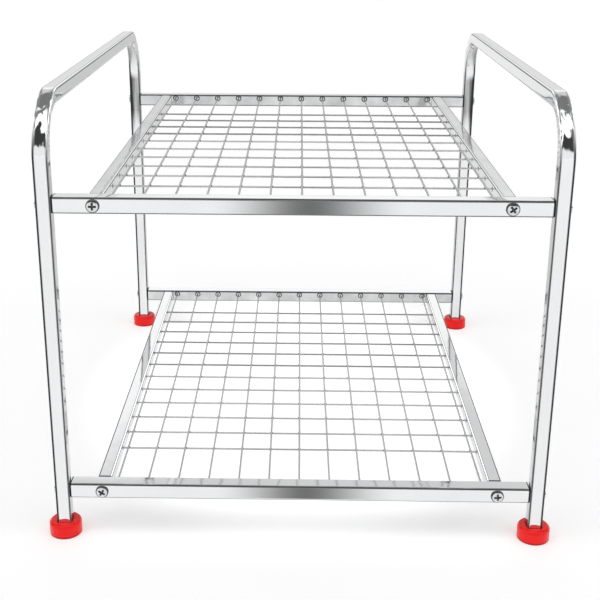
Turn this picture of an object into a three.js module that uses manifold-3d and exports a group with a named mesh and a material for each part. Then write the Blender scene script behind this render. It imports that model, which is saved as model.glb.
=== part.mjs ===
// Two-tier countertop shelf: two bent tube side frames carry two shelves, each made of four tubes
// round a welded wire grid. Screws in threaded inserts hold the tubes, and the legs stand in moulded feet.
// Millimetres, +Z up, the front faces -Y. The origin lies on the table, below the middle of the shelf.

import * as THREE from 'three';
import { mergeVertices } from 'three/addons/utils/BufferGeometryUtils.js';
import Module from 'manifold-3d';

const wasm = await Module();
wasm.setup();

// Overall sizes
const frameSpacing = 388; // left to right, between the legs' centre lines
const legSpan = 470; // front to back, between the legs' centre lines
const overallHeight = 364.5; // from the table to the top of the handles

// Side frames: square tube bent into an upside-down U
const legTubeSize = 12;
const legTubeCorner = 2.2;
const legTubeWall = 1;
const bendRadius = 43; // to the tube's centre line
const bendCorner = 4.4; // the section's corners open out to this halfway round each bend
const bendSteps = 8;
const cornerSteps = 2;

// Cross rails
const railDepth = 14;
const railHeight = 13;
const railCorner = 2;
const railWall = 1;
const railSetback = 2; // from the legs' outer faces to the rails' outer faces

// Side rails
const sideRailSize = 11.5;
const sideRailCorner = 1.8;
const sideRailWall = 1;

// Wire grids
const wireRadius = 1; // to the corners of the six-sided wire
const wireSides = 6;
const wireDrop = 4; // from the rails' top to the long wires' centre line
const weldDepth = 0.35; // how far the crossing wires sink into the long ones
const wireInsertion = 4; // how far the wires reach into the rails
const longWireCount = 13;
const sideMargin = 5.2; // from the side rails to the nearest long wires

// Shelves: the height of the rails' centre lines above the table, the side rails' distance inside the legs'
// centre lines, and the crossing wires, which keep a margin to the front and rear rails
const upperShelf = { height: 282.6, sideRailInset: 37.2, crossCount: 10, frontMargin: 43.4, rearMargin: 93.4 };
const lowerShelf = { height: 40.2, sideRailInset: 32.5, crossCount: 12, frontMargin: 58.9, rearMargin: 58.9 };

// Screws and the threaded inserts that they grip
const shankDiameter = 4;
const railScrewHead = { diameter: 10.5, height: 2.2, rim: 0.6 };
const legScrewHead = { diameter: 9, height: 1.6, rim: 0.4 };
const insertLength = 10;
const gripLength = 8; // how far a screw reaches into its insert
const screwSides = 8;
const crownSteps = 2;

// Feet
const footDiameter = 26.5;
const footHeight = 12;
const footFloor = 3; // material below the leg
const footEdge = 2.6; // rounding of the outer upper rim
const footChamfer = 0.8; // at the table
const footSides = 18;
const footEdgeSteps = 2;

// Clearances
const seatGap = 0.3; // between faces that bear on each other
const wireClearance = 0.35; // round a wire in its hole
const holeClearance = 0.3; // round a screw
const insertClearance = 0.3; // round an insert in its tube
const socketClearance = 0.3; // round a leg in its foot

// Places that follow from the sizes above
const legX = frameSpacing / 2;
const legY = legSpan / 2;
const legHalf = legTubeSize / 2;
const railY = legY + legHalf - railSetback - railDepth / 2;
const railInnerFace = railY - railDepth / 2;
const railOuterFace = railY + railDepth / 2;
const railLength = frameSpacing - legTubeSize - 2 * seatGap;
const sideRailLength = 2 * (railInnerFace - seatGap);
const legScrewY = (legY + railY) / 2;
const wireHoleRadius = wireRadius + wireClearance;
const holeRadius = shankDiameter / 2 + holeClearance;
const longWireRise = railHeight / 2 - wireDrop; // above a rail's centre line
const crossWireRise = longWireRise - 2 * wireRadius + weldDepth;

const steel = new THREE.MeshStandardMaterial({ color: 0xd8dadd, roughness: 0.14, metalness: 1 });
const wireSteel = new THREE.MeshStandardMaterial({ color: 0xc9ccd0, roughness: 0.2, metalness: 1 });
const screwSteel = new THREE.MeshStandardMaterial({ color: 0xbfc2c6, roughness: 0.22, metalness: 1 });
const insertNylon = new THREE.MeshStandardMaterial({ color: 0x2b2c2e, roughness: 0.6, metalness: 0 });
const redPlastic = new THREE.MeshStandardMaterial({ color: 0xe6262b, roughness: 0.28, metalness: 0 });

const rack = new THREE.Group();

function addPiece(name, geometry, material) {
  const mesh = new THREE.Mesh(geometry, material);
  mesh.name = name;
  rack.add(mesh);
}

// Turns a closed geometry into a solid that can be joined and cut
function solidOf(geometry) {
  const bare = geometry.clone();
  bare.deleteAttribute('normal');
  bare.deleteAttribute('uv');
  const merged = mergeVertices(bare);
  const vertProperties = Float32Array.from(merged.attributes.position.array);
  const triVerts = Uint32Array.from(merged.index.array);
  return new wasm.Manifold(new wasm.Mesh({ numProp: 3, vertProperties, triVerts }));
}

function geometryOf(solid) {
  const mesh = solid.getMesh();
  const geometry = new THREE.BufferGeometry();
  geometry.setAttribute('position', new THREE.BufferAttribute(mesh.vertProperties, 3));
  geometry.setIndex(new THREE.BufferAttribute(mesh.triVerts, 1));
  geometry.computeVertexNormals();
  return geometry;
}

// A body with holes made by closed cutting shapes
function drilled(body, cutters) {
  const holes = wasm.Manifold.union(cutters.map(solidOf));
  return geometryOf(solidOf(body).subtract(holes));
}

// Round and six-sided bars, along Y or along X, centred on a point, with a corner up
function barAlongY(radius, length, sides, x, y, z) {
  return new THREE.CylinderGeometry(radius, radius, length, sides).translate(x, y, z);
}

function barAlongX(radius, length, sides, x, y, z) {
  const bar = barAlongY(radius, length, sides, 0, 0, 0);
  bar.rotateZ(Math.PI / 2);
  return bar.translate(x, y, z);
}

// Evenly spaced places, the first and the last included
function spread(first, last, count) {
  return Array.from({ length: count }, (_, index) => first + ((last - first) * index) / (count - 1));
}

function sideRailX(shelf) {
  return legX - shelf.sideRailInset;
}

function sideRailInnerFace(shelf) {
  return sideRailX(shelf) - sideRailSize / 2;
}

function longWirePlaces(shelf) {
  const reach = sideRailInnerFace(shelf) - sideMargin;
  return spread(-reach, reach, longWireCount);
}

function crossWirePlaces(shelf) {
  return spread(shelf.frontMargin - railInnerFace, railInnerFace - shelf.rearMargin, shelf.crossCount);
}

// Outline with rounded corners, added to a shape or used as a hole in one
function roundedOutline(target, width, height, corner) {
  const x = width / 2 - corner;
  const y = height / 2 - corner;
  target.absarc(x, y, corner, 0, Math.PI / 2);
  target.absarc(-x, y, corner, Math.PI / 2, Math.PI);
  target.absarc(-x, -y, corner, Math.PI, 1.5 * Math.PI);
  target.absarc(x, -y, corner, 1.5 * Math.PI, 2 * Math.PI);
  target.closePath();
  return target;
}

// Straight tube along Z, centred on the origin
function straightTube(width, height, corner, wall, length) {
  const outline = roundedOutline(new THREE.Shape(), width, height, corner);
  const bore = new THREE.Path();
  outline.holes.push(roundedOutline(bore, width - 2 * wall, height - 2 * wall, corner - wall));
  const tube = new THREE.ExtrudeGeometry(outline, { depth: length, bevelEnabled: false, curveSegments: 1 });
  return tube.translate(0, 0, -length / 2);
}

// One ring of a rounded square, as offsets across and outwards
function squareRing(size, corner) {
  const ring = [];
  for (let side = 0; side < 4; side += 1) {
    for (let step = 0; step <= cornerSteps; step += 1) {
      const angle = (side + step / cornerSteps) * (Math.PI / 2);
      const middle = (side + 0.5) * (Math.PI / 2);
      const reach = (size / 2 - corner) * Math.SQRT2;
      const across = reach * Math.cos(middle) + corner * Math.cos(angle);
      const outwards = reach * Math.sin(middle) + corner * Math.sin(angle);
      ring.push([across, outwards]);
    }
  }
  return ring;
}

// Stations along the upside-down U: up the front leg, round two bends, down the rear leg.
// turn is the angle of the path, from 0 going up to a half turn going down.
function frameStations() {
  const bendY = legY - bendRadius;
  const bendZ = overallHeight - legHalf - bendRadius;
  const front = [{ y: -legY, z: footFloor + seatGap, turn: 0 }];
  for (let step = 0; step <= bendSteps; step += 1) {
    const turn = (Math.PI / 2) * (step / bendSteps);
    const y = -bendY - bendRadius * Math.cos(turn);
    const z = bendZ + bendRadius * Math.sin(turn);
    front.push({ y, z, turn });
  }
  const rear = front.map(({ y, z, turn }) => ({ y: -y, z, turn: Math.PI - turn }));
  return [...front, ...rear.reverse()];
}

// Hollow bent tube in the Y-Z plane. The section's corners open out in the bends, as they do on a bent tube.
function bentTube() {
  const positions = [];
  const stations = frameStations();
  for (const { y, z, turn } of stations) {
    const opening = Math.sin(2 * turn) ** 2;
    const corner = legTubeCorner + (bendCorner - legTubeCorner) * opening;
    const outer = squareRing(legTubeSize, corner);
    const inner = squareRing(legTubeSize - 2 * legTubeWall, corner - legTubeWall);
    for (const [across, outwards] of [...outer, ...inner]) {
      positions.push(across, y - outwards * Math.cos(turn), z + outwards * Math.sin(turn));
    }
  }
  const ringLength = squareRing(legTubeSize, legTubeCorner).length;
  const vertex = (station, layer, point) => (station * 2 + layer) * ringLength + (point % ringLength);
  const indices = [];
  const quad = (a, b, c, d) => indices.push(a, b, c, a, c, d);
  const last = stations.length - 1;
  for (let point = 0; point < ringLength; point += 1) {
    const next = point + 1;
    for (let station = 0; station < last; station += 1) {
      const ahead = station + 1;
      quad(vertex(station, 0, point), vertex(ahead, 0, point), vertex(ahead, 0, next), vertex(station, 0, next));
      quad(vertex(station, 1, next), vertex(ahead, 1, next), vertex(ahead, 1, point), vertex(station, 1, point));
    }
    quad(vertex(0, 0, next), vertex(0, 1, next), vertex(0, 1, point), vertex(0, 0, point));
    quad(vertex(last, 0, point), vertex(last, 1, point), vertex(last, 1, next), vertex(last, 0, next));
  }
  const tube = new THREE.BufferGeometry();
  tube.setAttribute('position', new THREE.Float32BufferAttribute(positions, 3));
  tube.setIndex(indices);
  return tube;
}

function sideFrame(side) {
  const tube = bentTube().translate(side * legX, 0, 0);
  const cutters = [];
  for (const { height } of [lowerShelf, upperShelf]) {
    for (const y of [-legScrewY, legScrewY]) {
      cutters.push(barAlongX(holeRadius, 2 * legTubeSize, screwSides, side * legX, y, height));
    }
  }
  return drilled(tube, cutters);
}

function crossRail(end, shelf) {
  const tube = straightTube(railHeight, railDepth, railCorner, railWall, railLength);
  tube.rotateY(Math.PI / 2).translate(0, end * railY, shelf.height);
  const wallCut = 2 * railWall + railCorner;
  const wireHeight = shelf.height + longWireRise;
  const cutters = longWirePlaces(shelf).map((x) =>
    barAlongY(wireHoleRadius, wallCut, wireSides, x, end * railInnerFace, wireHeight),
  );
  for (const side of [-1, 1]) {
    const x = side * sideRailX(shelf);
    cutters.push(barAlongY(holeRadius, 2 * railDepth, screwSides, x, end * railY, shelf.height));
  }
  return drilled(tube, cutters);
}

function sideRail(side, shelf) {
  const tube = straightTube(sideRailSize, sideRailSize, sideRailCorner, sideRailWall, sideRailLength);
  tube.rotateX(Math.PI / 2).translate(side * sideRailX(shelf), 0, shelf.height);
  const wallCut = 2 * sideRailWall + sideRailCorner;
  const wireHeight = shelf.height + crossWireRise;
  const cutters = crossWirePlaces(shelf).map((y) =>
    barAlongX(wireHoleRadius, wallCut, wireSides, side * sideRailInnerFace(shelf), y, wireHeight),
  );
  return drilled(tube, cutters);
}

function wireGrid(shelf) {
  const longLength = 2 * (railInnerFace + wireInsertion);
  const crossLength = 2 * (sideRailInnerFace(shelf) + wireInsertion);
  const longWires = longWirePlaces(shelf).map((x) =>
    barAlongY(wireRadius, longLength, wireSides, x, 0, shelf.height + longWireRise),
  );
  const crossWires = crossWirePlaces(shelf).map((y) =>
    barAlongX(wireRadius, crossLength, wireSides, 0, y, shelf.height + crossWireRise),
  );
  return geometryOf(wasm.Manifold.union([...longWires, ...crossWires].map(solidOf)));
}

// Screw along Y with its head's seat at the origin and its tip at -Y
function screw(head, reach) {
  const shank = shankDiameter / 2;
  const radius = head.diameter / 2;
  const crown = new THREE.QuadraticBezierCurve(
    new THREE.Vector2(radius, head.rim),
    new THREE.Vector2(radius, head.height),
    new THREE.Vector2(0, head.height),
  );
  const profile = [
    new THREE.Vector2(0, -reach),
    new THREE.Vector2(shank, -reach),
    new THREE.Vector2(shank, 0),
    new THREE.Vector2(radius, 0),
    ...crown.getPoints(crownSteps),
  ];
  return new THREE.LatheGeometry(profile, screwSides);
}

// Insert that fills a tube's end, along Z, with a bore off its centre by (boreX, boreY)
function insert(width, height, corner, boreX, boreY) {
  const fit = 2 * insertClearance;
  const outline = roundedOutline(new THREE.Shape(), width - fit, height - fit, corner - insertClearance);
  const bore = new THREE.Path();
  for (let quarter = 0; quarter < 4; quarter += 1) {
    bore.absarc(boreX, boreY, holeRadius, (quarter * Math.PI) / 2, ((quarter + 1) * Math.PI) / 2);
  }
  outline.holes.push(bore);
  const options = { depth: insertLength, bevelEnabled: false, curveSegments: 1 };
  return new THREE.ExtrudeGeometry(outline, options).translate(0, 0, -insertLength / 2);
}

// Turned foot with a square socket for the leg
function foot(x, y) {
  const radius = footDiameter / 2;
  const rim = new THREE.QuadraticBezierCurve(
    new THREE.Vector2(radius, footHeight - footEdge),
    new THREE.Vector2(radius, footHeight),
    new THREE.Vector2(radius - footEdge, footHeight),
  );
  const profile = [
    [0, 0],
    [radius - footChamfer, 0],
    [radius, footChamfer],
    ...rim.getPoints(footEdgeSteps).map((point) => [point.x, point.y]),
    [0, footHeight],
  ];
  const body = wasm.Manifold.revolve([profile], footSides).rotate([0, 0, 90]);
  const width = legTubeSize + 2 * socketClearance;
  const outline = roundedOutline(new THREE.Shape(), width, width, legTubeCorner + socketClearance);
  const options = { depth: footHeight, bevelEnabled: false, curveSegments: cornerSteps };
  const socket = new THREE.ExtrudeGeometry(outline, options).translate(0, 0, footFloor);
  return geometryOf(body.subtract(solidOf(socket))).translate(x, y, 0);
}

const sides = [['left', -1], ['right', 1]];
const ends = [['front', -1], ['rear', 1]];
const shelves = [['lower', lowerShelf], ['upper', upperShelf]];

for (const [sideName, side] of sides) {
  addPiece(`${sideName}_side_frame`, sideFrame(side), steel);
  for (const [endName, end] of ends) {
    addPiece(`${endName}_${sideName}_foot`, foot(side * legX, end * legY), redPlastic);
  }
}

for (const [shelfName, shelf] of shelves) {
  addPiece(`${shelfName}_wire_grid`, wireGrid(shelf), wireSteel);
  for (const [endName, end] of ends) {
    addPiece(`${shelfName}_${endName}_rail`, crossRail(end, shelf), steel);
  }
  for (const [sideName, side] of sides) {
    addPiece(`${shelfName}_${sideName}_side_rail`, sideRail(side, shelf), steel);
    for (const [endName, end] of ends) {
      addFastenings(`${shelfName}_${endName}_${sideName}`, end, side, shelf);
    }
  }
}

// One corner of a shelf: the screw through the leg into the cross rail, the screw through the cross rail
// into the side rail, and the two inserts
function addFastenings(corner, end, side, shelf) {
  const z = shelf.height;
  const railX = side * sideRailX(shelf);
  const railReach = seatGap + railDepth + seatGap + gripLength;
  const railScrew = screw(railScrewHead, railReach);
  railScrew.rotateZ(end > 0 ? 0 : Math.PI);
  railScrew.translate(railX, end * (railOuterFace + seatGap), z);
  addPiece(`${corner}_rail_screw`, railScrew, screwSteel);

  const legReach = seatGap + legTubeSize + seatGap + gripLength;
  const legScrew = screw(legScrewHead, legReach);
  legScrew.rotateZ((-side * Math.PI) / 2);
  legScrew.translate(side * (legX + legHalf + seatGap), end * legScrewY, z);
  addPiece(`${corner}_leg_screw`, legScrew, screwSteel);

  const sideBore = sideRailSize - 2 * sideRailWall;
  const sideInsert = insert(sideBore, sideBore, sideRailCorner - sideRailWall, 0, 0);
  sideInsert.rotateX(Math.PI / 2);
  sideInsert.translate(railX, end * (sideRailLength - insertLength) / 2, z);
  addPiece(`${corner}_side_rail_insert`, sideInsert, insertNylon);

  const boreShift = end * (legScrewY - railY);
  const railBoreHeight = railHeight - 2 * railWall;
  const railBoreDepth = railDepth - 2 * railWall;
  const railInsert = insert(railBoreHeight, railBoreDepth, railCorner - railWall, 0, boreShift);
  railInsert.rotateY(Math.PI / 2);
  railInsert.translate(side * (railLength - insertLength) / 2, end * railY, z);
  addPiece(`${corner}_rail_insert`, railInsert, insertNylon);
}

export default rack;
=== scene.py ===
import math
from collections import namedtuple

import bmesh
import bpy
from mathutils import Matrix, Vector, noise


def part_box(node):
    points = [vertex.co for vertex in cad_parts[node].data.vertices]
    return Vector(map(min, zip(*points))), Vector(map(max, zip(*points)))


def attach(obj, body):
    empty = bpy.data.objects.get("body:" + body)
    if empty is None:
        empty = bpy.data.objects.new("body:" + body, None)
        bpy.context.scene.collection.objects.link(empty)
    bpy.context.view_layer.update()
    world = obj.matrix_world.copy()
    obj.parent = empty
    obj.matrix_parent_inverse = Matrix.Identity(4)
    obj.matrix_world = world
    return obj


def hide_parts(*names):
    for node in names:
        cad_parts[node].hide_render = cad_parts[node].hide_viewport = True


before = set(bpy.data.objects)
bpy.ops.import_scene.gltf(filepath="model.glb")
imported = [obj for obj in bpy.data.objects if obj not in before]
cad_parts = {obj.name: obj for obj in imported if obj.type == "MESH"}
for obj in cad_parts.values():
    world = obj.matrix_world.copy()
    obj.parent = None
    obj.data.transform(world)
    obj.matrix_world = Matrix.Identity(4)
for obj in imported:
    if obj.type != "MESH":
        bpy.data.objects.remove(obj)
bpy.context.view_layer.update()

MM = 0.001
BODY = "root"

SIDES = ("left", "right")
ENDS = ("front", "rear")
SHELVES = ("upper", "lower")
CORNERS = ((1, 1), (-1, 1), (-1, -1), (1, -1))
ALONG_X = Vector((1, 0, 0))
ALONG_Y = Vector((0, 1, 0))
UP = Vector((0, 0, 1))
X_AXIS, Y_AXIS = 0, 1

# Camera, worked out from the photograph's vanishing points
IMAGE_PIXELS = 600
FOCAL_PIXELS = 1060.4
OPTICAL_CENTRE = (280, 260)
SENSOR_WIDTH = 36
CAMERA_PLACE = Vector((-3.5, -1002, 493.7)) * MM
CAMERA_PITCH = math.radians(18.295)
CAMERA_YAW = math.radians(0.964)
CAMERA_ROLL = math.radians(0.208)

# Side frames
LEG_CORNER = 2.2 * MM
LEG_WALL = 1 * MM
BEND_RADIUS = 43 * MM
BEND_CORNER = 4.4 * MM
BEND_STEPS = 28
FLAT_FACES = 6
CORNER_STEPS = 6
BEND_SINK = 0.3 * MM  # how far a wall's middle sinks in halfway round a bend
BEND_WAVE = 1.3 * MM
BEND_WAVE_SIZE = Vector((5, 16, 16)) * MM  # streaks along the tube

# Painted dark reflections on the side frames, smooth and in streaks
LEG_DARK_REFLECTION = ((90 * MM, 0), (45 * MM, 1), (9 * MM, 1))  # by how far below the bend
BEND_DARK_REFLECTION = 0.35  # where the bend starts, of the painted dark reflection on the leg below
DARK_REFLECTION_BASE = 0.62
DARK_REFLECTION_OUTWARD = 0.5  # more of it towards the outer side
DARK_REFLECTION_SIZE = Vector((3, 17, 17)) * MM
INNER_REFLECTION_STREAKS = 0.25
OUTER_REFLECTION_STREAKS = 1.6

# Rails
RAIL_CORNER = 2 * MM
SIDE_RAIL_CORNER = 1.8 * MM
RAIL_WALL = 1 * MM
HOLE_LENGTH = 4 * RAIL_WALL
CROSS_END_LINE = 0.7 * MM  # painted shade, a dark line round each end
SIDE_END_LINE = 1.3 * MM
END_FADE = 0.5 * MM

# Wire shelves
CAD_WIRE_RADIUS = 1 * MM
WIRE_RADIUS = 0.86 * MM
WIRE_HOLE_RADIUS = 1.35 * MM
WIRE_SIDES = 12
WIRE_STEPS = 10
WIRE_BOW = 0.25 * MM
LONG_BOW_TURN = 2.4  # radians from one wire's bow to the next one's
CROSS_BOW_TURN = 1.9
BRIGHT_WIRES_TO = 10 * MM  # the crossing wires in front of this are brighter, a painted highlight
LONG_WIRES = 13
SIDE_MARGIN = 5.2 * MM
CROSS_WIRES = {"upper": 10, "lower": 12}
FRONT_MARGIN = {"upper": 43.4 * MM, "lower": 58.9 * MM}
REAR_MARGIN = {"upper": 93.4 * MM, "lower": 58.9 * MM}
WELD_SPOT = Vector((1.4, 1.4, 0.9)) * MM
WELD_SPOT_SIDES = 8
WELD_SPOT_STEPS = 6
BEAD_RADIUS = 3.4 * MM
SIDE_BEAD_SHARE = 0.65  # of the size of the beads on the cross rails
BEAD_RISE = 0.7 * MM
BEAD_LIP = 0.15 * MM
BEAD_BORE = 0.9 * WIRE_RADIUS
BEAD_CROWN = (1.3 * WIRE_RADIUS, 0.85 * BEAD_RISE)  # radius and height
BEAD_TOE = (0.62 * BEAD_RADIUS, 2 * BEAD_LIP)
BEAD_EDGE = (0.92 * BEAD_RADIUS, BEAD_LIP)
BEAD_SIDES = 16

# Screws
HEAD_HEIGHT = {"rail_screw": 2.2 * MM, "leg_screw": 1.6 * MM}
DARK_BANDS = {"rail_screw": 5, "leg_screw": 0}  # painted shade round the head's foot, from the shank outwards and up the head
SHANK_RADIUS = 2 * MM
SHANK_BANDS = 2  # its end and its side
HEAD_SIDES = 40
HEAD_STEPS = 8
RIM_SHARE = 0.24
RECESS_REACH = 0.64  # of the head's radius
RECESS_ARM = 0.17
RECESS_TAPER = 0.5
RECESS_DEPTH = 0.75  # of the head's height
SCREW_TURN = math.radians(37)

# Feet
FOOT_SIDES = 72
FOOT_EDGE = 2.6 * MM
FOOT_EDGE_STEPS = 8
FOOT_CHAMFER = 0.8 * MM
FOOT_FLOOR = 3 * MM
FOOT_LIP = 0.4 * MM
LIP_STEPS = 4
SOCKET_HALF = 6.3 * MM
SOCKET_CORNER = 2.5 * MM

# Tube finishes, each with the dark and light tints of its clouds. The last three are darker copies, painted
# shade
TUBE_TINTS = ((0.80, 0.81, 0.82), (0.88, 0.885, 0.89))
RAIL_SHADE_TINTS = ((0.42, 0.425, 0.43), (0.80, 0.805, 0.81))
TOP_SHADE_TINTS = ((0.55, 0.555, 0.56), (0.82, 0.825, 0.83))
INNER_SHADE_TINTS = ((0.44, 0.445, 0.45), (0.64, 0.645, 0.65))
PLAIN_CLOUDS = 14
RAIL_SHADE_CLOUDS = 60
TOP_SHADE_CLOUDS = 25
INNER_SHADE_CLOUDS = 20
TUBE_ROUGHNESS = (0.03, 0.08)
TUBE_WAVE = 0.1 * MM
TUBE_WAVE_SCALE = 45
BUFFING_SCALE = 40
BUFFING_DENSITY = (2, 90, 1)
RIPPLE_SCALE = 120
RIPPLE_DENSITY = (2, 0.8, 0.8)
RIPPLE_DEPTH = 1.7 * MM
BEND_SHARE = "bend_share"
# Painted dark reflections and painted shade on the tubes: dark lines along corners and round rail ends, and
# dark reflections on the side frames
PAINTED_DARK = "painted_dark"
PAINTED_DARK_SHOWS = (0.3, 1)  # from the first trace to fully dark
PAINTED_DARK_TINT = (0.03, 0.03, 0.031)
EDGE_ROUGHNESS = 0.25
EDGE_SPECULAR = 0.1
EDGE_FALL = 1.5  # how steeply a narrow dark edge fades
FRAME_EDGE = 0.95  # narrow edges of the side frames, of those on the rails
BROAD_EDGE = 0.5  # painted darkness where a broad dark edge ends
WIDE_EDGE = 2  # how much sooner a wide dark edge is fully dark
LIT_EDGE = (0, 1, 0.9, 0, 0, 0.9, 0)  # painted darkness across a lit corner, from the side to the top
SAME_FACING = 0.9  # cosine between two directions that count as one
SHARP_ANGLE = math.radians(40)
FLAT_SIDE_WEIGHT = 100

# Other finishes
# The wires are tinted dark as painted shade for the dark reflections along them; the bright tints are a
# painted highlight on the front crossing wires
WIRE_TINTS = ((0.24, 0.245, 0.25), (0.40, 0.405, 0.41))
BRIGHT_WIRE_TINTS = ((0.48, 0.485, 0.49), (0.66, 0.665, 0.67))
# Dark heat tint on the welds, also used as painted shade round the screw heads, in their recesses and round
# the wires in the beads
HEAT_TINT_AND_SHADE_TINTS = ((0.05, 0.048, 0.046), (0.16, 0.155, 0.15))
SCREW_TINTS = ((0.60, 0.61, 0.63), (0.78, 0.79, 0.80))
WIRE_ROUGHNESS = (0.10, 0.22)
WELD_ROUGHNESS = (0.25, 0.45)
SCREW_ROUGHNESS = (0.06, 0.16)
GRAIN = 900
SCREW_GRAIN = 1200
LINE_BUMP = 0.02
LINE_DEPTH = 0.02 * MM
RED_TINTS = ((0.88, 0.003, 0.004), (0.97, 0.006, 0.006))
RED_CLOUDS = 90
RED_ROUGHNESS = (0.22, 0.36)
RED_SPECULAR = 0.2
RED_COAT = 0.2
RED_COAT_ROUGHNESS = 0.05
# Painted shade: darker red near the foot's base
RED_SHADED = (0.3, 0.002, 0.002)
RED_SHADE_HEIGHT = (0.4 * MM, 2.4 * MM)
PEEL_SCALE = 700
PEEL_BUMP = 0.15
PEEL_DEPTH = 0.05 * MM
NYLON_TINTS = ((0.016, 0.016, 0.018), (0.034, 0.034, 0.036))
NYLON_CLOUDS = 260
NYLON_ROUGHNESS = (0.45, 0.65)
NYLON_BUMP = 0.2
NYLON_DEPTH = 0.05 * MM

# Studio
FLOOR_HALF = 60
FLOOR_BASE = 0.75
FLOOR_ROUGHNESS = 0.6
FLOOR_GLOW = 0.395
POOL_GLOW = 0.6
POOL_SCALE = (5.5, 4.2, 0)  # one over the half axes of an ellipse
POOL_SHIFT = (0, -0.23, 0)
POOL_EDGE = (1, 1.35)
MIRROR_DEPTH = (-0.3, 1.2)  # from where to where the mirrored floor dims, front to back and left to right
MIRROR_WIDTH = (-0.25, 0.25)
MIRROR_LOSS = (0.3, 1)
WORLD_STRENGTH = 1.75
HALF_TURN = 180
STRIPS = (  # degrees up from the front, and level
    (0, 0.55), (13, 0.55),  # room behind the camera
    (19, 0.03), (44, 0.03),  # dark gap
    (52, 1), (84, 1),  # softbox
    (96, 0.12), (132, 0.12),  # ceiling
    (143, 0.4), (152, 0.42), (156, 0.62), (161, 0.62), (168, 0.46), (HALF_TURN, 0.44),  # white wall
)
SIDE_GLOW = 0.7  # of the side walls, far back
SIDE_WIDTH = (0.24, 0.34)
SIDE_ANGLE = (math.radians(150), math.radians(165))
STRIP_WOBBLE = 0.3
STRIP_WOBBLE_SCALE = 2.5
DEEP_LEVEL = 0.5  # of the strips in a mirror image of a mirror image
DEEP_FROM = 1.5  # between one mirror image and two
FLAG_HALF = 82 * MM
FLAG_HEIGHT = 360 * MM
FLAG_PLACE = Vector((6, -290, 0)) * MM
FLAG_TONE = 0.19
FLAG_REACH = (0.15, 0.3)  # distances over which its mirror image fades

# A section through a tube: its middle, axes and size, how bent the tube is there, and its painted shade and
# painted dark reflection there
Station = namedtuple("Station", "centre across up width height corner opening worn stain", defaults=(0, 0, 0))


# Materials

def new_material(name):
    """A material with a Principled shader, its tree and the shader."""
    material = bpy.data.materials.new(name)
    material.use_nodes = True
    tree = material.node_tree
    return material, tree, tree.nodes["Principled BSDF"]


def opaque(tint):
    return (*tint, 1)


def grey(level):
    return (level, level, level, 1)


def feed(tree, value, socket):
    """Links another node's output to a socket, or sets the socket to a constant."""
    if isinstance(value, bpy.types.NodeSocket):
        tree.links.new(value, socket)
    else:
        socket.default_value = value


def coordinates(tree, source):
    """A place on the piece, or a direction in the world."""
    return tree.nodes.new("ShaderNodeTexCoord").outputs[source]


def split(tree, vector):
    """The X, Y and Z of a vector, by name."""
    axes = tree.nodes.new("ShaderNodeSeparateXYZ")
    tree.links.new(vector, axes.inputs["Vector"])
    return axes.outputs


def add_mapping(tree, vector, scale, shift=(0, 0, 0)):
    """A vector that is scaled and then shifted."""
    mapping = tree.nodes.new("ShaderNodeMapping")
    mapping.inputs["Scale"].default_value = scale
    mapping.inputs["Location"].default_value = shift
    tree.links.new(vector, mapping.inputs["Vector"])
    return mapping.outputs["Vector"]


def add_noise(tree, source, scale, detail, density=(1, 1, 1)):
    """Noise in a piece's own coordinates, with its density along each axis."""
    texture = tree.nodes.new("ShaderNodeTexNoise")
    texture.inputs["Scale"].default_value = scale
    texture.inputs["Detail"].default_value = detail
    tree.links.new(add_mapping(tree, coordinates(tree, source), density), texture.inputs["Vector"])
    return texture.outputs["Fac"]


def add_attribute(tree, name):
    """A value that the mesh holds at each point."""
    attribute = tree.nodes.new("ShaderNodeAttribute")
    attribute.attribute_name = name
    return attribute.outputs["Fac"]


def add_range(tree, value, low, high):
    """Maps a 0 to 1 value to low to high."""
    mapped = tree.nodes.new("ShaderNodeMapRange")
    mapped.inputs["To Min"].default_value = low
    mapped.inputs["To Max"].default_value = high
    tree.links.new(value, mapped.inputs["Value"])
    return mapped.outputs["Result"]


def maths(tree, operation, *values):
    """A Math node on one or two values."""
    node = tree.nodes.new("ShaderNodeMath")
    node.operation = operation
    for value, socket in zip(values, node.inputs):
        feed(tree, value, socket)
    return node.outputs["Value"]


def add_mix(tree, kind, factor, first, second):
    """Goes from the first to the second, both of one kind, FLOAT or RGBA, as the factor goes from 0 to 1."""
    mix = tree.nodes.new("ShaderNodeMix")
    mix.data_type = kind
    for socket, value in (("Factor", factor), ("A", first), ("B", second)):
        feed(tree, value, mix.inputs[socket])
    return mix.outputs["Result"]


def smooth_step(tree, value, start, end):
    """0 below start, 1 above end, eased between."""
    step = tree.nodes.new("ShaderNodeMapRange")
    step.interpolation_type = "SMOOTHSTEP"
    step.inputs["From Min"].default_value = start
    step.inputs["From Max"].default_value = end
    tree.links.new(value, step.inputs["Value"])
    return step.outputs["Result"]


def add_ramp(tree, value, stops):
    """A colour by a 0 to 1 value, from stops of place and colour."""
    ramp = tree.nodes.new("ShaderNodeValToRGB")
    elements = ramp.color_ramp.elements
    while len(elements) < len(stops):
        elements.new(1)
    for element, (position, colour) in zip(elements, stops):
        element.position = position
        element.color = colour
    tree.links.new(value, ramp.inputs["Fac"])
    return ramp.outputs["Color"]


def add_tint(tree, value, tints):
    """A colour between two tints, by a 0 to 1 value."""
    dark, light = tints
    return add_ramp(tree, value, ((0, opaque(dark)), (1, opaque(light))))


def add_bump(tree, shader, height, distance, strength=1):
    """Bump on top of whatever bump the shader already has."""
    bump = tree.nodes.new("ShaderNodeBump")
    bump.inputs["Strength"].default_value = strength
    bump.inputs["Distance"].default_value = distance
    tree.links.new(height, bump.inputs["Height"])
    for link in shader.inputs["Normal"].links:
        tree.links.new(link.from_socket, bump.inputs["Normal"])
    tree.links.new(bump.outputs["Normal"], shader.inputs["Normal"])


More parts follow.
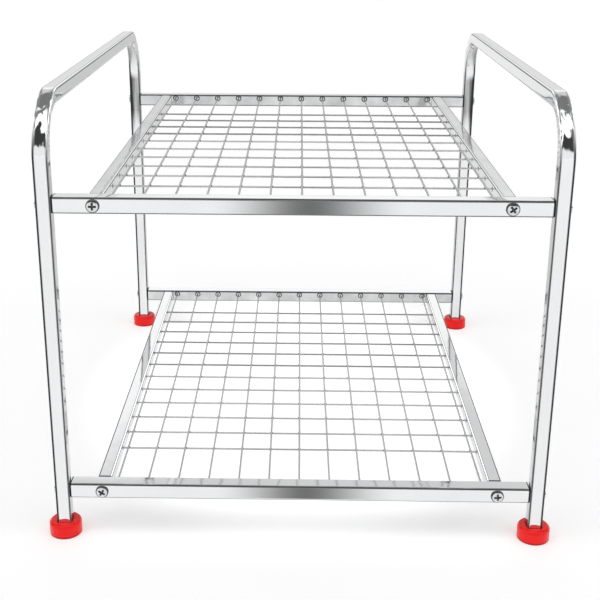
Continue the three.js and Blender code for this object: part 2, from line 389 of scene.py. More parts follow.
def polished(tree, shader, tints, rough_range, lines, cloud_scale):
    """Cloudy bright metal whose roughness follows fine lines. Returns its colour and roughness."""
    add_bump(tree, shader, lines, LINE_DEPTH, LINE_BUMP)
    clouds = add_noise(tree, "Object", cloud_scale, detail=2)
    return add_tint(tree, clouds, tints), add_range(tree, lines, *rough_range)


def metal(name, tints, rough_range, grain):
    """Bright metal with a fine grain."""
    material, tree, shader = new_material(name)
    lines = add_noise(tree, "Object", grain, detail=3)
    colour, roughness = polished(tree, shader, tints, rough_range, lines, PLAIN_CLOUDS)
    feed(tree, 1, shader.inputs["Metallic"])
    feed(tree, colour, shader.inputs["Base Color"])
    feed(tree, roughness, shader.inputs["Roughness"])
    return material


def tube_steel(name, tints, cloud_scale):
    """Polished tube: buffing lines run along it, its sides are slightly wavy, its bends rippled, and where
    painted shade and painted dark reflections are marked it is dark and dull."""
    material, tree, shader = new_material(name)
    lines = add_noise(tree, "UV", BUFFING_SCALE, detail=3, density=BUFFING_DENSITY)
    add_bump(tree, shader, add_noise(tree, "Object", TUBE_WAVE_SCALE, detail=1), TUBE_WAVE)
    ripple = add_noise(tree, "Object", RIPPLE_SCALE, detail=1, density=RIPPLE_DENSITY)
    in_bends = maths(tree, "MULTIPLY", ripple, add_attribute(tree, BEND_SHARE))
    add_bump(tree, shader, in_bends, RIPPLE_DEPTH)
    colour, roughness = polished(tree, shader, tints, TUBE_ROUGHNESS, lines, cloud_scale)
    # Painted dark reflections and painted shade: where marked, the tube is dark, dull and not metallic
    worn = smooth_step(tree, add_attribute(tree, PAINTED_DARK), *PAINTED_DARK_SHOWS)
    feed(tree, add_mix(tree, "RGBA", worn, colour, opaque(PAINTED_DARK_TINT)), shader.inputs["Base Color"])
    feed(tree, add_mix(tree, "FLOAT", worn, roughness, EDGE_ROUGHNESS), shader.inputs["Roughness"])
    feed(tree, add_range(tree, worn, 1, 0), shader.inputs["Metallic"])
    feed(tree, EDGE_SPECULAR, shader.inputs["Specular IOR Level"])
    return material


def red_plastic():
    """Glossy moulded plastic with a faint orange-peel surface, darker near the floor as painted shade at its
    base.
    """
    material, tree, shader = new_material("moulded_red_plastic")
    clouds = add_noise(tree, "Object", RED_CLOUDS, detail=3)
    peel = add_noise(tree, "Object", PEEL_SCALE, detail=2)
    height = split(tree, coordinates(tree, "Object"))["Z"]
    unshaded = smooth_step(tree, height, *RED_SHADE_HEIGHT)
    colour = add_mix(tree, "RGBA", unshaded, opaque(RED_SHADED), add_tint(tree, clouds, RED_TINTS))
    feed(tree, colour, shader.inputs["Base Color"])
    feed(tree, add_range(tree, clouds, *RED_ROUGHNESS), shader.inputs["Roughness"])
    feed(tree, RED_SPECULAR, shader.inputs["Specular IOR Level"])
    feed(tree, RED_COAT, shader.inputs["Coat Weight"])
    feed(tree, RED_COAT_ROUGHNESS, shader.inputs["Coat Roughness"])
    add_bump(tree, shader, peel, PEEL_DEPTH, PEEL_BUMP)
    return material


def nylon():
    """Dull dark nylon for the threaded inserts."""
    material, tree, shader = new_material("insert_nylon")
    clouds = add_noise(tree, "Object", NYLON_CLOUDS, detail=4)
    feed(tree, add_tint(tree, clouds, NYLON_TINTS), shader.inputs["Base Color"])
    feed(tree, add_range(tree, clouds, *NYLON_ROUGHNESS), shader.inputs["Roughness"])
    add_bump(tree, shader, clouds, NYLON_DEPTH, NYLON_BUMP)
    return material


TUBE_STEEL = tube_steel("polished_tube_steel", TUBE_TINTS, PLAIN_CLOUDS)
# Darker copies of the tube steel: painted shade for faces that mirror darker surroundings
RAIL_SHADE_STEEL = tube_steel("shaded_rail_face_tube_steel", RAIL_SHADE_TINTS, RAIL_SHADE_CLOUDS)
TOP_SHADE_STEEL = tube_steel("shaded_top_tube_steel", TOP_SHADE_TINTS, TOP_SHADE_CLOUDS)
INNER_SHADE_STEEL = tube_steel("shaded_inner_side_tube_steel", INNER_SHADE_TINTS, INNER_SHADE_CLOUDS)
WIRE_STEEL = metal("polished_wire_steel", WIRE_TINTS, WIRE_ROUGHNESS, GRAIN)
BRIGHT_WIRE = metal("bright_wire_steel", BRIGHT_WIRE_TINTS, WIRE_ROUGHNESS, GRAIN)
HEAT_TINT_AND_SHADE = metal("heat_tint_and_painted_shade", HEAT_TINT_AND_SHADE_TINTS, WELD_ROUGHNESS, GRAIN)
SCREW_STEEL = metal("plated_screw_steel", SCREW_TINTS, SCREW_ROUGHNESS, SCREW_GRAIN)
RED_PLASTIC = red_plastic()
NYLON = nylon()
GRID_MATERIALS = (WIRE_STEEL, HEAT_TINT_AND_SHADE, SCREW_STEEL, BRIGHT_WIRE)
WIRE_SLOT, WELD_SLOT, COLLAR_SLOT, BRIGHT_SLOT = range(len(GRID_MATERIALS))
SCREW_MATERIALS = (SCREW_STEEL, HEAT_TINT_AND_SHADE)
DARK_SLOT = SCREW_MATERIALS.index(HEAT_TINT_AND_SHADE)


# Mesh helpers

def arc(centre, radius, start, end, steps):
    """Points of an arc, from one angle in degrees to another."""
    points = []
    for step in range(steps + 1):
        angle = math.radians(start + (end - start) * step / steps)
        points.append((centre[0] + radius * math.cos(angle), centre[1] + radius * math.sin(angle)))
    return points


def rounded_ring(width, height, corner, flats):
    """Points round a rounded rectangle, anticlockwise, as (across, up), with flats faces on each side."""
    arcs = []
    for quarter, (right, top) in enumerate(CORNERS):
        centre = (right * (width / 2 - corner), top * (height / 2 - corner))
        arcs.append(arc(centre, corner, 90 * quarter, 90 * quarter + 90, CORNER_STEPS))
    ring = []
    for points, following in zip(arcs, arcs[1:] + arcs[:1]):
        start, end = Vector(points[-1]), Vector(following[0])
        ring += points
        ring += [start.lerp(end, step / flats) for step in range(1, flats)]
    return ring


def ring_darkening(flats, outer, lit):
    """How dark each point of a rounded ring is painted, as painted dark reflections along its corners: most
    in the middle of its corners, broadly so on the corners of the outer side (-1 or 1 across, or 0 for none),
    and along both sides of the upper corner on the lit side. Where a side is lit, the other upper corner has
    a wide dark edge."""
    narrow = FRAME_EDGE if outer else 1
    darkening = []
    for right, top in CORNERS:
        for step in range(CORNER_STEPS + 1):
            middle = math.sin(math.pi * step / CORNER_STEPS)
            if right == outer:
                darkening.append(min(1, BROAD_EDGE + middle))
            elif right == lit and top > 0:
                darkening.append(LIT_EDGE[step if right > 0 else CORNER_STEPS - step])
            elif lit and top > 0:
                darkening.append(min(1, WIDE_EDGE * middle))
            else:
                darkening.append(narrow * middle ** EDGE_FALL)
        darkening += [0] * (flats - 1)
    return darkening


def loft(bm, rings, along=None):
    """Skins closed rings of points and returns their vertices. along gives each ring's distance, for the UV
    map."""
    layers = [[bm.verts.new(point) for point in ring] for ring in rings]
    uv = bm.loops.layers.uv.verify()
    count = len(rings[0])
    round_about = [0]
    for index in range(count):
        step = (Vector(rings[0][(index + 1) % count]) - Vector(rings[0][index])).length
        round_about.append(round_about[-1] + step)
    for station in range(len(layers) - 1):
        for index in range(count):
            beside = (index + 1) % count
            corners = ((station, index), (station, beside), (station + 1, beside), (station + 1, index))
            face = bm.faces.new([layers[layer][point] for layer, point in corners])
            if along:
                places = ((0, 0), (0, 1), (1, 1), (1, 0))
                for loop, (ahead, turn) in zip(face.loops, places):
                    loop[uv].uv = (along[station + ahead], round_about[index + turn])
    return layers


def solid_loft(bm, rings):
    """Skins closed rings of points and closes both ends."""
    layers = loft(bm, rings)
    bm.faces.new(layers[0])
    bm.faces.new(layers[-1])


def cap(bm, outer, inner):
    """Closes a tube's end between its outer and inner rings."""
    for index in range(len(outer)):
        beside = (index + 1) % len(outer)
        bm.faces.new((outer[index], outer[beside], inner[beside], inner[index]))


def lathe(bm, profile, sides, matrix):
    """Turns (radius, height) points round Z, placed by a matrix. A point on the axis closes the shape.
    Returns the bands of faces between the points."""
    rings = []
    for radius, height in profile:
        turns = [math.tau * index / sides for index in range(sides if radius else 1)]
        points = [Vector((radius * math.cos(turn), radius * math.sin(turn), height)) for turn in turns]
        rings.append([bm.verts.new(matrix @ point) for point in points])
    bands = []
    for low, high in zip(rings, rings[1:]):
        band = []
        for index in range(sides):
            beside = (index + 1) % sides
            below = [low[index % len(low)], low[beside % len(low)]]
            above = [high[beside % len(high)], high[index % len(high)]]
            band.append(bm.faces.new(list(dict.fromkeys(below + above))))
        bands.append(band)
    return bands


def paint(bands, slots):
    """Gives each band of faces its material slot."""
    for band, slot in zip(bands, slots):
        for face in band:
            face.material_index = slot


def mesh_of(bm, name, materials):
    """Turns a bmesh into mesh data, with its faces outward."""
    bmesh.ops.recalc_face_normals(bm, faces=bm.faces)
    mesh = bpy.data.meshes.new(name)
    bm.to_mesh(mesh)
    bm.free()
    for material in materials:
        mesh.materials.append(material)
    return mesh


def add_object(name, mesh):
    """A new object in the scene."""
    piece = bpy.data.objects.new(name, mesh)
    bpy.context.scene.collection.objects.link(piece)
    return piece


def smooth(piece):
    """Smooth faces with flat sides kept flat, so that reflections run straight along them."""
    mesh = piece.data
    mesh.polygons.foreach_set("use_smooth", [True] * len(mesh.polygons))
    mesh.set_sharp_from_angle(angle=SHARP_ANGLE)
    weighted = piece.modifiers.new("flat_sides", "WEIGHTED_NORMAL")
    weighted.weight = FLAT_SIDE_WEIGHT
    weighted.keep_sharp = True


def cut(piece, cutter):
    """Takes the cutter's volume out of the piece and removes the cutter."""
    boolean = piece.modifiers.new("cut", "BOOLEAN")
    boolean.operation = "DIFFERENCE"
    boolean.solver = "EXACT"
    boolean.material_mode = "TRANSFER"
    boolean.object = cutter
    graph = bpy.context.evaluated_depsgraph_get()
    mesh = bpy.data.meshes.new_from_object(piece.evaluated_get(graph))
    piece.modifiers.clear()
    piece.data = mesh
    bpy.data.objects.remove(cutter)


def place(piece, slot, *nodes):
    """Smooths a piece and puts it on the part in place of its CAD nodes."""
    smooth(piece)
    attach(piece, BODY)
    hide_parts(*nodes)


def streak_at(point, size):
    """Noise from -1 to 1, drawn out by the size of its streaks along each axis."""
    return noise.noise(Vector([value / length for value, length in zip(point, size)]))


def skin_ring(station, flats):
    """A tube's outer ring. Halfway round a bend, its inner and outer walls are sunk in and slightly wavy."""
    ring = []
    for across, up in rounded_ring(station.width, station.height, station.corner, flats):
        point = station.centre + station.across * across + station.up * up
        wave = BEND_WAVE * streak_at(point, BEND_WAVE_SIZE)
        sink = BEND_SINK * (1 - (2 * across / station.width) ** 2)
        outward = 2 * up / station.height * station.opening
        ring.append(point + station.up * (wave - sink) * outward)
    return ring


def painted_bend_reflection(station, across, up, outer):
    """How much painted dark reflection a point of a bend or upper leg has. The inside is darkest towards the
    outer side, and both walls are streaky, alike on the two frames."""
    point = station.centre + station.up * up
    streak = streak_at((outer * across, point.y, point.z), DARK_REFLECTION_SIZE)
    outward = 0.5 + outer * across / station.width
    inside = station.stain * (DARK_REFLECTION_BASE + DARK_REFLECTION_OUTWARD * outward ** 2 + INNER_REFLECTION_STREAKS * streak)
    outside = station.opening * OUTER_REFLECTION_STREAKS * streak
    wall = 2 * up / station.height
    return -wall * inside if wall < 0 else wall * outside


def shade_side(piece, facing, material, below=math.inf):
    """Gives the side of a tube that faces one way its own finish, a darker copy of the steel as painted
    shade, up to a height.
    """
    slot = len(piece.data.materials)
    piece.data.materials.append(material)
    for face in piece.data.polygons:
        if face.normal.dot(facing) > SAME_FACING and face.center.z < below:
            face.material_index = slot


def mark_painted_dark(bm, stations, rings, flats, outer, lit):
    """Writes how much painted shade and painted dark reflection a tube has, and how bent it is, at each point
    of its outer rings.
    """
    worn = bm.verts.layers.float[PAINTED_DARK]
    bent = bm.verts.layers.float[BEND_SHARE]
    tightest = min(station.corner for station in stations)
    upright_darkening = ring_darkening(flats, outer, 0)
    level_darkening = ring_darkening(flats, outer, lit)
    for station, ring in zip(stations, rings):
        level = max(0, station.up.z)
        places = rounded_ring(station.width, station.height, station.corner, flats)
        for vertex, (across, up), upright, lying in zip(ring, places, upright_darkening, level_darkening):
            darkening = (upright + (lying - upright) * level) * tightest / station.corner
            vertex[worn] = max(station.worn, painted_bend_reflection(station, across, up, outer), darkening)
            vertex[bent] = station.opening


def tube(name, stations, wall, outer=0, lit=0):
    """Hollow tube through stations. outer is the side whose corners are broadly painted dark, and lit the one
    whose upper corner is bright between two painted dark lines where the tube lies level. These dark marks
    are painted dark reflections."""
    flats = FLAT_FACES if outer else 1
    skins, bores, along = [], [], [0]
    for station in stations:
        skins.append(skin_ring(station, flats))
        bore_size = station.width - 2 * wall, station.height - 2 * wall, station.corner - wall
        bore_ring = rounded_ring(*bore_size, flats)
        bores.append([station.centre + station.across * a + station.up * b for a, b in bore_ring])
    for before, after in zip(stations, stations[1:]):
        along.append(along[-1] + (after.centre - before.centre).length)
    bm = bmesh.new()
    for layer in (PAINTED_DARK, BEND_SHARE):
        bm.verts.layers.float.new(layer)
    skin = loft(bm, skins, along)
    mark_painted_dark(bm, stations, skin, flats, outer, lit)
    bore = loft(bm, bores, along)
    cap(bm, skin[0], bore[0])
    cap(bm, skin[-1], bore[-1])
    return add_object(name, mesh_of(bm, name, [TUBE_STEEL]))


def spread(first, last, count):
    """Evenly spaced places, the first and the last included."""
    return [first + (last - first) * index / (count - 1) for index in range(count)]


def middle_and_size(node):
    """The middle and the size of a CAD node's box."""
    low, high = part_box(node)
    return (low + high) / 2, high - low


# Pieces

def bend_height(node):
    """Where a side frame's legs end and its bends start."""
    low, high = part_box(node)
    return high.z - (high.x - low.x) / 2 - BEND_RADIUS


def frame_stations(node):
    """Up the front leg, round the two bends and down the rear leg."""
    low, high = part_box(node)
    width = high.x - low.x
    x = (low.x + high.x) / 2
    leg_y = high.y - width / 2
    bend_y = leg_y - BEND_RADIUS
    bend_z = bend_height(node)
    front = [(Vector((x, -leg_y, low.z)), 0, 0)]
    # Painted dark reflection on the upper legs and round the bends
    front += [(Vector((x, -leg_y, bend_z - below)), 0, stain) for below, stain in LEG_DARK_REFLECTION]
    for step in range(BEND_STEPS + 1):
        turn = math.pi / 2 * step / BEND_STEPS
        y = -bend_y - BEND_RADIUS * math.cos(turn)
        z = bend_z + BEND_RADIUS * math.sin(turn)
        front.append((Vector((x, y, z)), turn, math.cos(turn) * (BEND_DARK_REFLECTION + math.sin(turn))))
    rear = [(Vector((p.x, -p.y, p.z)), math.pi - turn, stain) for p, turn, stain in reversed(front)]
    stations = []
    for centre, turn, stain in front + rear:
        opening = math.sin(2 * turn) ** 2
        corner = LEG_CORNER + (BEND_CORNER - LEG_CORNER) * opening
        outwards = Vector((0, -math.cos(turn), math.sin(turn)))
        stations.append(Station(centre, ALONG_X, outwards, width, width, corner, opening, stain=stain))
    return stations


def side_frame(side):
    """Bent tube with broad dark edges on its outer side, painted dark reflections, and painted shade on the
    inner side of its legs, a darker copy of the steel.
    """
    node = f"{side}_side_frame"
    outer = -1 if side == "left" else 1
    piece = tube(f"{side}_bent_frame", frame_stations(node), LEG_WALL, outer, -outer)
    shade_side(piece, ALONG_X * -outer, INNER_SHADE_STEEL, bend_height(node))
    place(piece, "polished_tube", node)


def wire_places(shelf):
    """Where a shelf's long wires (x) and crossing wires (y) lie, and their heights."""
    rail_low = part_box(f"{shelf}_right_side_rail")[0]
    front_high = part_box(f"{shelf}_front_rail")[1]
    rear_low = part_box(f"{shelf}_rear_rail")[0]
    grid_low, grid_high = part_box(f"{shelf}_wire_grid")
    reach = rail_low.x - SIDE_MARGIN
    long_x = spread(-reach, reach, LONG_WIRES)
    first, last = front_high.y + FRONT_MARGIN[shelf], rear_low.y - REAR_MARGIN[shelf]
    cross_y = spread(first, last, CROSS_WIRES[shelf])
    return long_x, cross_y, grid_high.z - CAD_WIRE_RADIUS, grid_low.z + CAD_WIRE_RADIUS


def hole_cutter(places, turn_axis):
    """Round bars through the wire holes, turned about an axis from upright to level."""
    bm = bmesh.new()
    turn = Matrix.Rotation(math.pi / 2, 4, turn_axis)
    half = HOLE_LENGTH / 2
    profile = [(0, -half), (WIRE_HOLE_RADIUS, -half), (WIRE_HOLE_RADIUS, half), (0, half)]
    for centre in places:
        lathe(bm, profile, WIRE_SIDES, Matrix.Translation(centre) @ turn)
    return add_object("wire_holes", mesh_of(bm, "wire_holes", [TUBE_STEEL]))


def rail_stations(node, run, across, corner, end_line):
    """Straight rail along run, with a dark line of painted shade round each end."""
    centre, size = middle_and_size(node)
    half = abs(size.dot(run)) / 2
    width = abs(size.dot(across))
    stations = []
    for end in (-1, 1):
        marks = [(half, 1), (half - end_line, 1), (half - end_line - END_FADE, 0)]
        for distance, worn in marks if end < 0 else reversed(marks):
            point = centre + run * (end * distance)
            stations.append(Station(point, across, UP, width, size.z, corner, worn=worn))
    return stations


def cross_rail(shelf, end):
    """Rail with a hole for each long wire, and painted shade on its inner face, a darker copy of the steel.
    """
    node = f"{shelf}_{end}_rail"
    stations = rail_stations(node, ALONG_X, ALONG_Y, RAIL_CORNER, CROSS_END_LINE)
    piece = tube(f"{shelf}_{end}_rail_tube", stations, RAIL_WALL)
    long_x, _, long_z, _ = wire_places(shelf)
    low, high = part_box(node)
    inward, inner_face = (1, high.y) if end == "front" else (-1, low.y)
    holes = [Vector((x, inner_face, long_z)) for x in long_x]
    cut(piece, hole_cutter(holes, "X"))
    shade_side(piece, ALONG_Y * inward, RAIL_SHADE_STEEL)
    place(piece, "polished_tube", node)


def side_rail(shelf, side):
    """Rail with a hole for each crossing wire. The upper ones have painted shade on top, the lower ones
    painted shade on their inner sides, each a darker copy of the steel."""
    node = f"{shelf}_{side}_side_rail"
    stations = rail_stations(node, ALONG_Y, ALONG_X, SIDE_RAIL_CORNER, SIDE_END_LINE)
    low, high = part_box(node)
    inward, inner_face = (1, high.x) if side == "left" else (-1, low.x)
    piece = tube(f"{shelf}_{side}_rail_tube", stations, RAIL_WALL, lit=inward)
    _, cross_y, _, cross_z = wire_places(shelf)
    holes = [Vector((inner_face, y, cross_z)) for y in cross_y]
    cut(piece, hole_cutter(holes, "Y"))
    if shelf == "upper":
        shade_side(piece, UP, TOP_SHADE_STEEL)
    else:
        shade_side(piece, ALONG_X * inward, INNER_SHADE_STEEL)
    place(piece, "polished_tube", node)


def add_wire(bm, start, end, sideways, bow, slot):
    """Round wire between two points, bowed slightly sideways as drawn wire is."""
    before = len(bm.faces)
    across = (end - start).normalized().cross(UP)
    circle = arc((0, 0), WIRE_RADIUS, 0, 360, WIRE_SIDES)[:-1]
    rings = []
    for step in range(WIRE_STEPS + 1):
        share = step / WIRE_STEPS
        centre = start.lerp(end, share) + sideways * bow * math.sin(math.pi * share)
        rings.append([centre + across * a + UP * b for a, b in circle])
    solid_loft(bm, rings)
    bm.faces.ensure_lookup_table()
    paint([bm.faces[before:]], [slot])


def add_weld_spot(bm, x, y, z):
    """Small flattened lump where two wires cross."""
    middle = arc((0, 0), 1, -90, 90, WELD_SPOT_STEPS)[1:-1]
    profile = [(0, -1), *middle, (0, 1)]
    flatten = Matrix.Translation((x, y, z)) @ Matrix.Diagonal((*WELD_SPOT, 1))
    bands = lathe(bm, profile, WELD_SPOT_SIDES, flatten)
    paint(bands, [WELD_SLOT] * len(bands))


def add_bead(bm, matrix):
    """Weld bead round a wire's end: a raised collar inside a dark ring that is partly heat tint and partly
    painted shade, with the bore round the wire dark as painted shade.
    """
    bore, foot = (BEAD_BORE, 0), (BEAD_RADIUS, 0)
    profile = [bore, (BEAD_BORE, BEAD_RISE), BEAD_CROWN, BEAD_TOE, BEAD_EDGE, foot, bore]
    slots = (WELD_SLOT, WELD_SLOT, COLLAR_SLOT, WELD_SLOT, WELD_SLOT, WELD_SLOT)
    paint(lathe(bm, profile, BEAD_SIDES, matrix), slots)


def wire_shelf(shelf):
    """One welded grid: bowed wires, a weld spot at each crossing and a bead where each wire enters a rail."""
    node = f"{shelf}_wire_grid"
    low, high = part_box(node)
    long_x, cross_y, long_z, cross_z = wire_places(shelf)
    front_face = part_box(f"{shelf}_front_rail")[1].y
    left_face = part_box(f"{shelf}_left_side_rail")[1].x
    bm = bmesh.new()
    for index, x in enumerate(long_x):
        bow = WIRE_BOW * math.sin(LONG_BOW_TURN * index)
        front, rear = Vector((x, low.y, long_z)), Vector((x, high.y, long_z))
        add_wire(bm, front, rear, ALONG_X, bow, WIRE_SLOT)
        for end in (-1, 1):
            lie = Matrix.Rotation(end * math.pi / 2, 4, "X")
            add_bead(bm, Matrix.Translation((x, -end * front_face, long_z)) @ lie)
    for index, y in enumerate(cross_y):
        bow = WIRE_BOW * math.cos(CROSS_BOW_TURN * index)
        # Painted highlight: the front crossing wires get the brighter tints
        slot = BRIGHT_SLOT if y < BRIGHT_WIRES_TO else WIRE_SLOT
        left, right = Vector((low.x, y, cross_z)), Vector((high.x, y, cross_z))
        add_wire(bm, left, right, ALONG_Y, bow, slot)
        for side in (-1, 1):
            lie = Matrix.Rotation(-side * math.pi / 2, 4, "Y") @ Matrix.Scale(SIDE_BEAD_SHARE, 4)
            add_bead(bm, Matrix.Translation((-side * left_face, y, cross_z)) @ lie)
        for x in long_x:
            add_weld_spot(bm, x, y, (long_z + cross_z) / 2)
    piece = add_object(f"{shelf}_welded_wires", mesh_of(bm, node, GRID_MATERIALS))
    place(piece, "polished_wire", node)


def recess_cutter(radius, top):
    """Cross-shaped recess that narrows towards its floor, open above the head's crown."""
    bm = bmesh.new()
    depth = RECESS_DEPTH * top
    rings = []
    for height, share in ((top - depth, RECESS_TAPER), (top + depth, 2 - RECESS_TAPER)):
        reach, arm = RECESS_REACH * radius * share, RECESS_ARM * radius * share
        ring = []
        for quarter in range(4):
            turn = Matrix.Rotation(quarter * math.pi / 2, 3, "Z")
            ring += [turn @ Vector((*point, height)) for point in ((reach, -arm), (reach, arm), (arm, arm))]
        rings.append(ring)
    solid_loft(bm, rings)
    # The recess walls take this dark material: painted shade in the recess
    return add_object("recess", mesh_of(bm, "recess", [HEAT_TINT_AND_SHADE]))


def screw_mesh(name, radius, height, reach, dark_bands):
    """Truss-head screw along Z with its seat at the origin: a domed head with a cross recess, dark in as many
    bands as given, painted shade round the head's foot."""
    rim = RIM_SHARE * height
    crown = []
    for step in range(1, HEAD_STEPS):
        angle = math.pi / 2 * step / HEAD_STEPS
        crown.append((radius * math.cos(angle), rim + (height - rim) * math.sin(angle)))
    profile = [(0, -reach), (SHANK_RADIUS, -reach), (SHANK_RADIUS, 0), (radius, 0), (radius, rim)]
    bm = bmesh.new()
    bands = lathe(bm, [*profile, *crown, (0, height)], HEAD_SIDES, Matrix())
    # Painted shade: the dark bands ring the foot of the head
    paint(bands[SHANK_BANDS:], [DARK_SLOT] * dark_bands)
    piece = add_object(name, mesh_of(bm, name, SCREW_MATERIALS))
    cut(piece, recess_cutter(radius, height))
    return piece


def screws(kind, axis):
    """All screws of one kind. Each stands where its CAD node does, its head on the outside of the part."""
    corners = [(shelf, end, side) for shelf in SHELVES for end in ENDS for side in SIDES]
    for index, corner in enumerate(corners):
        node = "_".join((*corner, kind))
        low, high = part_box(node)
        size = high - low
        outward = 1 if (low + high)[axis] > 0 else -1
        height = HEAD_HEIGHT[kind]
        piece = screw_mesh(f"{node}_head", size.z / 2, height, size[axis] - height, DARK_BANDS[kind])
        seat = (low + high) / 2
        seat[axis] = (high[axis] if outward > 0 else low[axis]) - outward * height
        direction = Vector((0, 0, 0))
        direction[axis] = outward
        stand = direction.to_track_quat("Z", "Y").to_matrix().to_4x4()
        spin = Matrix.Rotation(SCREW_TURN * index, 4, "Z")
        piece.data.transform(Matrix.Translation(seat) @ stand @ spin)
        place(piece, "screw_steel", node)


def socket_radius(turn, half):
    """Distance from the middle to a rounded square, in the direction of turn."""
    wide, narrow = sorted((abs(math.cos(turn)), abs(math.sin(turn))), reverse=True)
    inset = SOCKET_HALF - SOCKET_CORNER
    corner = half - inset
    if half * narrow <= inset * wide:
        return half / wide
    reach = inset * (wide + narrow)
    return reach + math.sqrt(reach ** 2 - 2 * inset ** 2 + corner ** 2)


def foot(end, side):
    """Turned foot: rounded outer rim, chamfered base and a square socket that the leg stands in."""
    node = f"{end}_{side}_foot"
    centre, size = middle_and_size(node)
    radius, top = max(size.x, size.y) / 2, size.z
    base = arc((radius - FOOT_CHAMFER, FOOT_CHAMFER), FOOT_CHAMFER, -90, 0, LIP_STEPS)
    rim = arc((radius - FOOT_EDGE, top - FOOT_EDGE), FOOT_EDGE, 0, 90, FOOT_EDGE_STEPS)
    lip = arc((SOCKET_HALF + FOOT_LIP, top - FOOT_LIP), FOOT_LIP, 90, 180, LIP_STEPS)
    turns = [math.tau * index / FOOT_SIDES for index in range(FOOT_SIDES)]
    origin = Vector((centre.x, centre.y, centre.z - top / 2))
    rings = []
    for distance, height in [*base, *rim]:
        rings.append([(distance, turn, height) for turn in turns])
    for distance, height in [*lip, (SOCKET_HALF, FOOT_FLOOR)]:
        rings.append([(socket_radius(turn, distance), turn, height) for turn in turns])
    points = [[origin + Vector((r * math.cos(t), r * math.sin(t), z)) for r, t, z in ring] for ring in rings]
    bm = bmesh.new()
    solid_loft(bm, points)
    piece = add_object(f"{end}_{side}_moulded_foot", mesh_of(bm, node, [RED_PLASTIC]))
    place(piece, "red_plastic", node)


def dress_inserts():
    """The hidden inserts keep their CAD shape and get their finish."""
    for name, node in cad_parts.items():
        if name.endswith("_insert"):
            node.data.materials.clear()
            node.data.materials.append(NYLON)


# Studio

def studio_floor():
    """White table that glows a little, as a lit sweep does, so that the shadows stay soft. It glows more in a
    pool round the shelf. The metal mirrors it dimmer behind the shelf, and most so on the right."""
    bm = bmesh.new()
    bm.faces.new([bm.verts.new((a * FLOOR_HALF, b * FLOOR_HALF, 0)) for a, b in CORNERS])
    material, tree, shader = new_material("pale_floor")
    spot = coordinates(tree, "Object")
    axes = split(tree, spot)
    away = tree.nodes.new("ShaderNodeVectorMath")
    away.operation = "LENGTH"
    tree.links.new(add_mapping(tree, spot, POOL_SCALE, POOL_SHIFT), away.inputs[0])
    glow = add_range(tree, smooth_step(tree, away.outputs["Value"], *POOL_EDGE), POOL_GLOW, FLOOR_GLOW)
    behind = smooth_step(tree, axes["Y"], *MIRROR_DEPTH)
    loss = add_range(tree, smooth_step(tree, axes["X"], *MIRROR_WIDTH), *MIRROR_LOSS)
    mirrored = tree.nodes.new("ShaderNodeLightPath").outputs["Is Glossy Ray"]
    dimming = maths(tree, "MULTIPLY", maths(tree, "MULTIPLY", behind, loss), mirrored)
    strength = maths(tree, "MULTIPLY", glow, add_range(tree, dimming, 1, 0))
    feed(tree, strength, shader.inputs["Emission Strength"])
    feed(tree, grey(1), shader.inputs["Emission Color"])
    feed(tree, grey(FLOOR_BASE), shader.inputs["Base Color"])
    feed(tree, FLOOR_ROUGHNESS, shader.inputs["Roughness"])
    floor = add_object("studio_floor", mesh_of(bm, "studio_floor", [material]))


def flag_material():
    """Dark in the middle and clear at the sides, and clear for metal that is far away."""
    material, tree, shader = new_material("dark_flag")
    tree.nodes.remove(shader)
    dark = tree.nodes.new("ShaderNodeEmission")
    dark.inputs["Color"].default_value = grey(FLAG_TONE)
    clear = tree.nodes.new("ShaderNodeBsdfTransparent")
    across = split(tree, coordinates(tree, "Object"))["X"]
    aside = smooth_step(tree, maths(tree, "ABSOLUTE", across), 0, FLAG_HALF)
    distance = tree.nodes.new("ShaderNodeLightPath").outputs["Ray Length"]
    far = smooth_step(tree, distance, *FLAG_REACH)
    blend = tree.nodes.new("ShaderNodeMixShader")
    tree.links.new(maths(tree, "MAXIMUM", aside, far), blend.inputs["Fac"])
    tree.links.new(dark.outputs["Emission"], blend.inputs[1])
    tree.links.new(clear.outputs["BSDF"], blend.inputs[2])
    tree.links.new(blend.outputs["Shader"], tree.nodes["Material Output"].inputs["Surface"])
    return material


def studio_flag():
    """Dark strip in front of the shelf. Only the polished metal sees it, as it mirrors a camera's stand."""
    bm = bmesh.new()
    corners = ((-1, 0), (1, 0), (1, 1), (-1, 1))
    bm.faces.new([bm.verts.new((a * FLAG_HALF, 0, b * FLAG_HEIGHT)) for a, b in corners])
    flag = add_object("studio_flag", mesh_of(bm, "studio_flag", [flag_material()]))
    flag.location = FLAG_PLACE
    for ray in ("camera", "diffuse", "shadow", "transmission", "volume_scatter"):
        setattr(flag, f"visible_{ray}", False)


def strip_level(tree, direction, angle):
    """The strips' level at an angle, with edges that wobble slightly."""
    ripple = tree.nodes.new("ShaderNodeTexNoise")
    ripple.inputs["Scale"].default_value = STRIP_WOBBLE_SCALE
    ripple.inputs["Detail"].default_value = 0
    tree.links.new(direction, ripple.inputs["Vector"])
    wobble = add_range(tree, ripple.outputs["Fac"], -STRIP_WOBBLE / 2, STRIP_WOBBLE / 2)
    share = maths(tree, "DIVIDE", maths(tree, "ADD", angle, wobble), math.pi)
    return add_ramp(tree, share, [(degrees / HALF_TURN, grey(level)) for degrees, level in STRIPS])


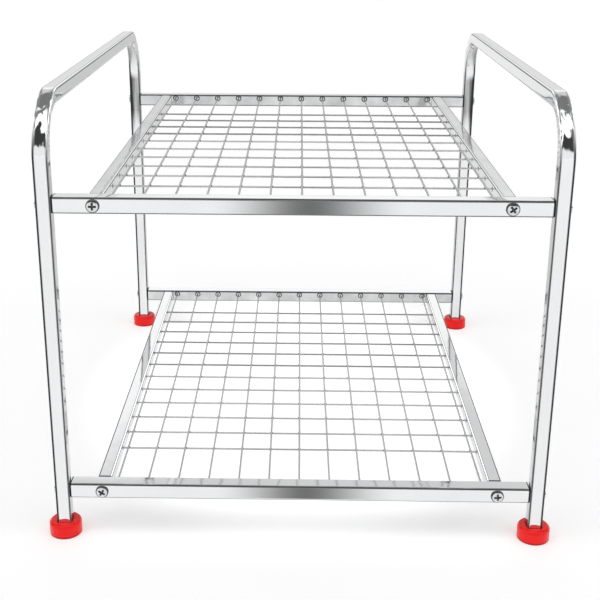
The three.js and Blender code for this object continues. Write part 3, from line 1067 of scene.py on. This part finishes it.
def studio_world():
    """Strips of light and dark across the studio, from the room behind the camera, up over the softbox
    and the ceiling, to the white wall behind the shelf, and bright side walls at the back. The polished tubes
    mirror them, and mirror images of mirror images see one even level."""
    world = bpy.data.worlds.new("white_studio")
    world.use_nodes = True
    bpy.context.scene.world = world
    tree = world.node_tree
    direction = coordinates(tree, "Generated")
    axes = split(tree, direction)
    angle = maths(tree, "ARCTAN2", axes["Z"], maths(tree, "MULTIPLY", axes["Y"], -1))
    path = tree.nodes.new("ShaderNodeLightPath").outputs
    aside = smooth_step(tree, maths(tree, "ABSOLUTE", axes["X"]), *SIDE_WIDTH)
    wall = maths(tree, "MULTIPLY", aside, smooth_step(tree, angle, *SIDE_ANGLE))
    glow = maths(tree, "MULTIPLY", maths(tree, "MULTIPLY", wall, path["Is Glossy Ray"]), SIDE_GLOW)
    strips = maths(tree, "ADD", strip_level(tree, direction, angle), glow)
    deep = maths(tree, "GREATER_THAN", path["Glossy Depth"], DEEP_FROM)
    background = tree.nodes["Background"]
    feed(tree, add_mix(tree, "RGBA", deep, strips, grey(DEEP_LEVEL)), background.inputs["Color"])
    feed(tree, WORLD_STRENGTH, background.inputs["Strength"])


def studio_camera():
    """Camera that sees the shelf as the photograph does."""
    data = bpy.data.cameras.new("photo_camera")
    data.sensor_width = SENSOR_WIDTH
    data.lens = FOCAL_PIXELS / IMAGE_PIXELS * SENSOR_WIDTH
    data.shift_x = 0.5 - OPTICAL_CENTRE[0] / IMAGE_PIXELS
    data.shift_y = OPTICAL_CENTRE[1] / IMAGE_PIXELS - 0.5
    camera = bpy.data.objects.new("photo_camera", data)
    tilt = Matrix.Rotation(math.pi / 2 - CAMERA_PITCH, 4, "X")
    aim = Matrix.Rotation(CAMERA_YAW, 4, "Z") @ tilt @ Matrix.Rotation(CAMERA_ROLL, 4, "Z")
    camera.matrix_world = Matrix.Translation(CAMERA_PLACE) @ aim
    bpy.context.scene.collection.objects.link(camera)
    bpy.context.scene.camera = camera


studio_camera()
studio_floor()
studio_flag()
studio_world()
bpy.context.scene.view_settings.view_transform = "Standard"

for side in SIDES:
    side_frame(side)
    for end in ENDS:
        foot(end, side)
for shelf in SHELVES:
    for end in ENDS:
        cross_rail(shelf, end)
    for side in SIDES:
        side_rail(shelf, side)
    wire_shelf(shelf)
screws("rail_screw", Y_AXIS)
screws("leg_screw", X_AXIS)
dress_inserts()
